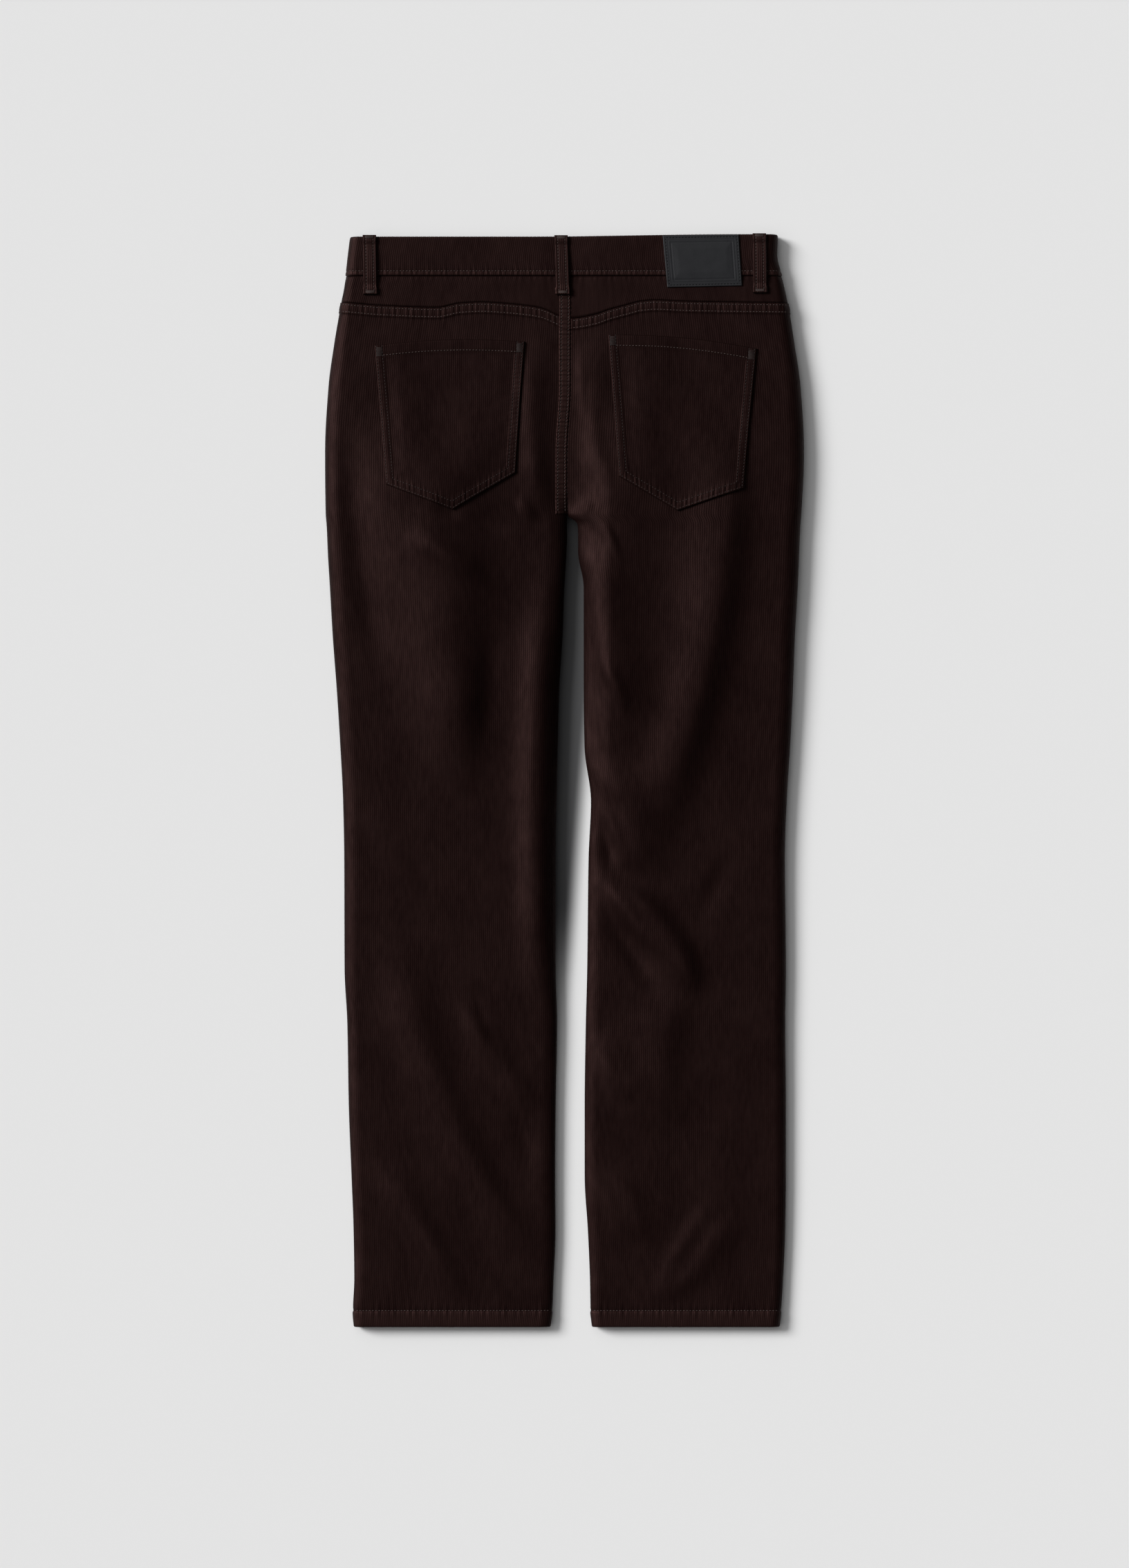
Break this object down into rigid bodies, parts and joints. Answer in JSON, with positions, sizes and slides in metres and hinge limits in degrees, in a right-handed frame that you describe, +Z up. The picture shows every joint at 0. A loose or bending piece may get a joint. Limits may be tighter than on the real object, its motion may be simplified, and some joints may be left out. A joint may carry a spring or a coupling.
{
  "type": "corduroy trousers",
  "caption": "Straight five-pocket corduroy trousers laid flat with the back up: yokes, patch pockets, belt loops and a plain leather patch on the waistband.",
  "frame": {"origin": "the middle of the garment's outline on the surface it lies on", "axes": "+Z up from the surface, out of the garment's back; +Y from the hems to the waistband; +X towards the wearer's right leg"},
  "size_m": [0.4838, 1.1048, 0.0313],
  "materials": {
    "corduroy": "matt dark brown fine-wale corduroy",
    "leather": "smooth charcoal leather with a pressed frame",
    "zip_metal": "dull",
    "button_metal": "satin"
  },
  "bodies": {
    "root": {"back_left": "corduroy", "back_right": "corduroy", "yoke_left": "corduroy", "yoke_right": "corduroy", "back_pocket_left": "corduroy", "back_pocket_right": "corduroy", "front_left": "corduroy", "front_right": "corduroy", "pocket_facing_left": "corduroy", "pocket_facing_right": "corduroy", "waistband": "corduroy", "loop_back_left": "corduroy", "loop_back_centre": "corduroy", "loop_back_right": "corduroy", "loop_front_left": "corduroy", "loop_front_right": "corduroy", "waist_patch": "leather", "fly_zip": "zip_metal", "waist_button": "button_metal"}
  },
  "joints": []
}
